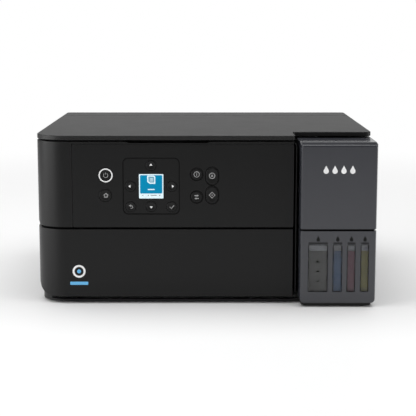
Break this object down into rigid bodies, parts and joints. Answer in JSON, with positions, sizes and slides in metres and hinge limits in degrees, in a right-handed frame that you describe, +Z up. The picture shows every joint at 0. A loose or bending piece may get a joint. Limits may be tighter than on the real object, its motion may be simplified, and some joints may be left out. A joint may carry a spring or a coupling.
{
  "type": "inkjet printer",
  "caption": "Ink tank printer and flatbed scanner with a hinged lid, tilting key panel, fold-down front output cover, rear paper feed and side ink tanks.",
  "frame": {"origin": "centre of the footprint's box on the table plane, under the feet", "axes": "+X to the user's right, +Y from the front to the back, +Z up; the front faces -Y"},
  "size_m": [0.375, 0.347, 0.1877],
  "materials": {
    "body_black": "fine matt texture, near black",
    "lid_black": "fine satin texture, near black",
    "inner_black": "plain moulded black",
    "key_black": "satin keys with pale printed marks",
    "smoke_grey": "satin smoke grey",
    "grey_plastic": "moulded grey",
    "white_plastic": "plain moulded acetal",
    "white_pad": "smooth white sheet on foam",
    "scan_glass": "clear polished glass",
    "tank_clear": "frosted translucent plastic",
    "screen": "lit colour display",
    "steel": "zinc-plated steel",
    "rubber": "matt rubber",
    "circuit": "green solder mask",
    "cap_black": "satin",
    "cap_cyan": "satin",
    "cap_magenta": "satin",
    "cap_yellow": "satin"
  },
  "bodies": {
    "root": {"bottom_case": "body_black", "rear_case": "body_black", "output_frame": "inner_black", "tank_housing": "smoke_grey", "ink_tank": "tank_clear", "main_frame": "steel", "guide_rod": "steel", "carriage_belt": "rubber", "carriage_motor": "steel", "platen": "inner_black", "feed_motor": "steel", "capping_station": "white_plastic", "hopper": "inner_black", "logic_board": "circuit", "power_supply": "inner_black", "foot_front_left": "rubber", "foot_front_right": "rubber", "foot_rear_left": "rubber", "foot_rear_right": "rubber"},
    "scanner_unit": {"scanner_base": "body_black", "scanner_bezel": "body_black", "scanner_glass": "scan_glass"},
    "scan_carriage": {"scan_head": "inner_black"},
    "document_lid": {"lid": "lid_black", "lid_pad": "white_pad"},
    "panel": {"control_panel": "body_black", "panel_back": "inner_black", "lcd_screen": "screen"},
    "output_cover": {"front_cover": "body_black"},
    "tray": {"tray_extension": "inner_black"},
    "stopper": {"tray_stopper": "inner_black"},
    "ink_cover": {"tank_cover": "smoke_grey"},
    "paper_cover": {"rear_cover": "lid_black"},
    "carriage": {"print_carriage": "inner_black"},
    "belt_drive": {"motor_pulley": "grey_plastic"},
    "belt_idler": {"idler_pulley": "grey_plastic"},
    "feed_shaft": {"feed_roller": "steel"},
    "exit_shaft": {"exit_roller": "inner_black"},
    "pinch_shaft": {"pinch_roller": "grey_plastic"},
    "transfer": {"transfer_gear": "white_plastic"},
    "pinion": {"feed_pinion": "white_plastic"},
    "pickup_shaft": {"pickup_roller": "rubber"},
    "guide_left": {"edge_guide_left": "grey_plastic"},
    "guide_right": {"edge_guide_right": "grey_plastic"},
    "key_power": {"power_button": "key_black"},
    "key_home": {"home_button": "key_black"},
    "key_up": {"up_button": "key_black"},
    "key_down": {"down_button": "key_black"},
    "key_left": {"left_button": "key_black"},
    "key_right": {"right_button": "key_black"},
    "key_back": {"back_button": "key_black"},
    "key_ok": {"ok_button": "key_black"},
    "key_help": {"help_button": "key_black"},
    "key_two_sided": {"two_sided_button": "key_black"},
    "key_stop": {"stop_button": "key_black"},
    "key_start": {"start_button": "key_black"},
    "cap_black": {"tank_cap_black": "cap_black"},
    "cap_cyan": {"tank_cap_cyan": "cap_cyan"},
    "cap_magenta": {"tank_cap_magenta": "cap_magenta"},
    "cap_yellow": {"tank_cap_yellow": "cap_yellow"}
  },
  "joints": [
    {"name": "scanner_unit_hinge", "type": "hinge", "parent": "root", "child": "scanner_unit", "pos_m": [0, 0.1145, 0.184], "axis": [-1, 0, 0], "range_deg": [0, 38]},
    {"name": "document_lid_hinge", "type": "hinge", "parent": "scanner_unit", "child": "document_lid", "pos_m": [0, 0.1155, 0.1865], "axis": [-1, 0, 0], "range_deg": [0, 82]},
    {"name": "scan_head_slide", "type": "slide", "parent": "scanner_unit", "child": "scan_carriage", "axis": [1, 0, 0], "range_m": [0, 0.3]},
    {"name": "control_panel_tilt", "type": "hinge", "parent": "scanner_unit", "child": "panel", "pos_m": [0, -0.1562, 0.178], "axis": [-1, 0, 0], "range_deg": [0, 40]},
    {"name": "power_press", "type": "slide", "parent": "panel", "child": "key_power", "axis": [0, 1, 0], "range_m": [0, 0.0008], "stiffness_N_per_m": 400},
    {"name": "home_press", "type": "slide", "parent": "panel", "child": "key_home", "axis": [0, 1, 0], "range_m": [0, 0.0008], "stiffness_N_per_m": 400},
    {"name": "up_press", "type": "slide", "parent": "panel", "child": "key_up", "axis": [0, 1, 0], "range_m": [0, 0.0008], "stiffness_N_per_m": 400},
    {"name": "down_press", "type": "slide", "parent": "panel", "child": "key_down", "axis": [0, 1, 0], "range_m": [0, 0.0008], "stiffness_N_per_m": 400},
    {"name": "left_press", "type": "slide", "parent": "panel", "child": "key_left", "axis": [0, 1, 0], "range_m": [0, 0.0008], "stiffness_N_per_m": 400},
    {"name": "right_press", "type": "slide", "parent": "panel", "child": "key_right", "axis": [0, 1, 0], "range_m": [0, 0.0008], "stiffness_N_per_m": 400},
    {"name": "back_press", "type": "slide", "parent": "panel", "child": "key_back", "axis": [0, 1, 0], "range_m": [0, 0.0008], "stiffness_N_per_m": 400},
    {"name": "ok_press", "type": "slide", "parent": "panel", "child": "key_ok", "axis": [0, 1, 0], "range_m": [0, 0.0008], "stiffness_N_per_m": 400},
    {"name": "help_press", "type": "slide", "parent": "panel", "child": "key_help", "axis": [0, 1, 0], "range_m": [0, 0.0008], "stiffness_N_per_m": 400},
    {"name": "two_sided_press", "type": "slide", "parent": "panel", "child": "key_two_sided", "axis": [0, 1, 0], "range_m": [0, 0.0008], "stiffness_N_per_m": 400},
    {"name": "stop_press", "type": "slide", "parent": "panel", "child": "key_stop", "axis": [0, 1, 0], "range_m": [0, 0.0008], "stiffness_N_per_m": 400},
    {"name": "start_press", "type": "slide", "parent": "panel", "child": "key_start", "axis": [0, 1, 0], "range_m": [0, 0.0008], "stiffness_N_per_m": 400},
    {"name": "front_cover_hinge", "type": "hinge", "parent": "root", "child": "output_cover", "pos_m": [0, -0.149, 0.013], "axis": [1, 0, 0], "range_deg": [0, 90]},
    {"name": "tray_extension_slide", "type": "slide", "parent": "output_cover", "child": "tray", "axis": [0, 0, 1], "range_m": [0, 0.055]},
    {"name": "tray_stopper_hinge", "type": "hinge", "parent": "tray", "child": "stopper", "pos_m": [0, -0.1372, 0.0762], "axis": [1, 0, 0], "range_deg": [0, 80]},
    {"name": "tank_cover_hinge", "type": "hinge", "parent": "root", "child": "ink_cover", "pos_m": [0, -0.1165, 0.1787], "axis": [-1, 0, 0], "range_deg": [0, 75]},
    {"name": "tank_cap_black_hinge", "type": "hinge", "parent": "root", "child": "cap_black", "pos_m": [0.1235, -0.128, 0.0939], "axis": [-1, 0, 0], "range_deg": [0, 95]},
    {"name": "tank_cap_cyan_hinge", "type": "hinge", "parent": "root", "child": "cap_cyan", "pos_m": [0.14485, -0.128, 0.0939], "axis": [-1, 0, 0], "range_deg": [0, 95]},
    {"name": "tank_cap_magenta_hinge", "type": "hinge", "parent": "root", "child": "cap_magenta", "pos_m": [0.15985, -0.128, 0.0939], "axis": [-1, 0, 0], "range_deg": [0, 95]},
    {"name": "tank_cap_yellow_hinge", "type": "hinge", "parent": "root", "child": "cap_yellow", "pos_m": [0.1746, -0.128, 0.0939], "axis": [-1, 0, 0], "range_deg": [0, 95]},
    {"name": "carriage_slide", "type": "slide", "parent": "root", "child": "carriage", "axis": [-1, 0, 0], "range_m": [0, 0.235]},
    {"name": "motor_pulley_spin", "type": "hinge", "parent": "root", "child": "belt_drive", "pos_m": [-0.15, 0.0369, 0.108], "axis": [0, 1, 0], "continuous": true},
    {"name": "idler_pulley_spin", "type": "hinge", "parent": "root", "child": "belt_idler", "pos_m": [0.156, 0.0369, 0.108], "axis": [0, 1, 0], "continuous": true},
    {"name": "feed_roller_spin", "type": "hinge", "parent": "root", "child": "feed_shaft", "pos_m": [0, -0.006, 0.0342], "axis": [1, 0, 0], "continuous": true},
    {"name": "exit_roller_spin", "type": "hinge", "parent": "root", "child": "exit_shaft", "pos_m": [0, -0.084, 0.0342], "axis": [1, 0, 0], "continuous": true},
    {"name": "pinch_roller_spin", "type": "hinge", "parent": "root", "child": "pinch_shaft", "pos_m": [0, -0.006, 0.0446], "axis": [1, 0, 0], "continuous": true},
    {"name": "transfer_gear_spin", "type": "hinge", "parent": "root", "child": "transfer", "pos_m": [-0.173, -0.045, 0.0342], "axis": [1, 0, 0], "continuous": true},
    {"name": "feed_pinion_spin", "type": "hinge", "parent": "root", "child": "pinion", "pos_m": [-0.173, 0.0195, 0.0342], "axis": [1, 0, 0], "continuous": true},
    {"name": "pickup_roller_spin", "type": "hinge", "parent": "root", "child": "pickup_shaft", "pos_m": [0, 0.086, 0.0925], "axis": [1, 0, 0], "continuous": true},
    {"name": "edge_guide_left_slide", "type": "slide", "parent": "root", "child": "guide_left", "axis": [1, 0, 0], "range_m": [0, 0.06]},
    {"name": "edge_guide_right_slide", "type": "slide", "parent": "root", "child": "guide_right", "axis": [-1, 0, 0], "range_m": [0, 0.06]},
    {"name": "rear_cover_hinge", "type": "hinge", "parent": "root", "child": "paper_cover", "pos_m": [0, 0.1665, 0.1849], "axis": [-1, 0, 0], "range_deg": [0, 115]}
  ],
  "couplings": [
    {"joint": "motor_pulley_spin", "follows": "carriage_slide", "rad_per_m": 166.67},
    {"joint": "idler_pulley_spin", "follows": "carriage_slide", "rad_per_m": 166.67},
    {"joint": "exit_roller_spin", "follows": "feed_roller_spin", "ratio": 1},
    {"joint": "pinch_roller_spin", "follows": "feed_roller_spin", "ratio": -1.5},
    {"joint": "transfer_gear_spin", "follows": "feed_roller_spin", "ratio": -0.85714},
    {"joint": "feed_pinion_spin", "follows": "feed_roller_spin", "ratio": -2.4},
    {"joint": "edge_guide_right_slide", "follows": "edge_guide_left_slide", "ratio": 1}
  ]
}
